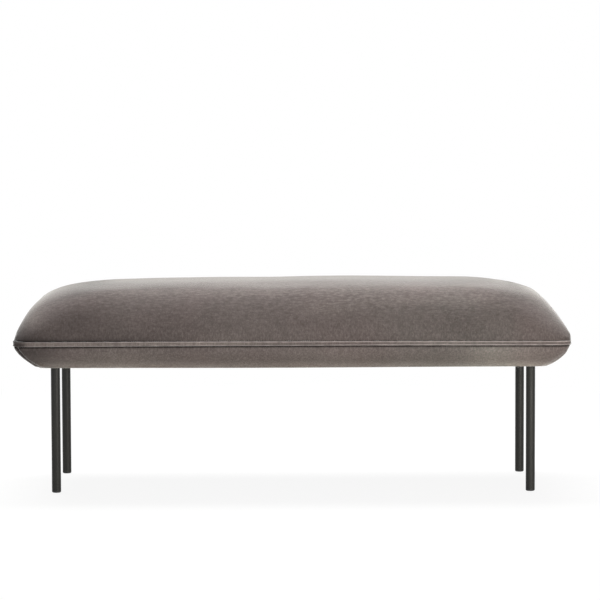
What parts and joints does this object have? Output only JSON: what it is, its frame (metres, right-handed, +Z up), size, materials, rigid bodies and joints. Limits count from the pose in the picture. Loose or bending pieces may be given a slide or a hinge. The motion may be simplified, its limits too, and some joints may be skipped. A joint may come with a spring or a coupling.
{
  "type": "bench",
  "caption": "Long upholstered bench with a crowned velvet cushion, a seam band round its rim, a sloping underside border and slim round steel legs.",
  "frame": {"origin": "on the floor, under the middle of the seat", "axes": "+Z up, +X along the length of the seat, +Y from the front to the back"},
  "size_m": [1.2, 0.48, 0.46],
  "materials": {
    "velvet": "matte",
    "leg_black": "matte",
    "nylon_black": "matte",
    "zinc_steel": "satin",
    "plywood": "matte",
    "hardboard": "satin",
    "webbing": "matte",
    "foam_firm": "matte",
    "foam_soft": "matte",
    "polyester_wrap": "matte",
    "felt": "matte",
    "dust_cloth": "matte"
  },
  "bodies": {
    "root": {"back_rail": "plywood", "base_board": "plywood", "base_screws": "zinc_steel", "bevel_panel_back": "hardboard", "bevel_panel_front": "hardboard", "bevel_panel_left": "hardboard", "bevel_panel_right": "hardboard", "border_padding": "felt", "cover_border_back": "velvet", "cover_border_front": "velvet", "cover_border_left": "velvet", "cover_border_right": "velvet", "cover_seam_band": "velvet", "cover_staples": "zinc_steel", "cover_top": "velvet", "cross_rib_left": "plywood", "cross_rib_middle": "plywood", "cross_rib_right": "plywood", "dust_cover": "dust_cloth", "dust_cover_staples": "zinc_steel", "fibre_wrap": "polyester_wrap", "foam_core": "foam_firm", "foam_topper": "foam_soft", "foot_glide_back_left": "nylon_black", "foot_glide_back_right": "nylon_black", "foot_glide_front_left": "nylon_black", "foot_glide_front_right": "nylon_black", "frame_screws": "zinc_steel", "front_rail": "plywood", "left_end_rail": "plywood", "leg_plate_back_left": "leg_black", "leg_plate_back_right": "leg_black", "leg_plate_front_left": "leg_black", "leg_plate_front_right": "leg_black", "leg_screws": "zinc_steel", "leg_tube_back_left": "leg_black", "leg_tube_back_right": "leg_black", "leg_tube_front_left": "leg_black", "leg_tube_front_right": "leg_black", "leg_welds": "leg_black", "right_end_rail": "plywood", "threaded_inserts": "zinc_steel", "top_frame_back": "plywood", "top_frame_front": "plywood", "top_frame_left": "plywood", "top_frame_right": "plywood", "webbing_cross": "webbing", "webbing_long": "webbing", "webbing_staples": "zinc_steel"}
  },
  "joints": []
}
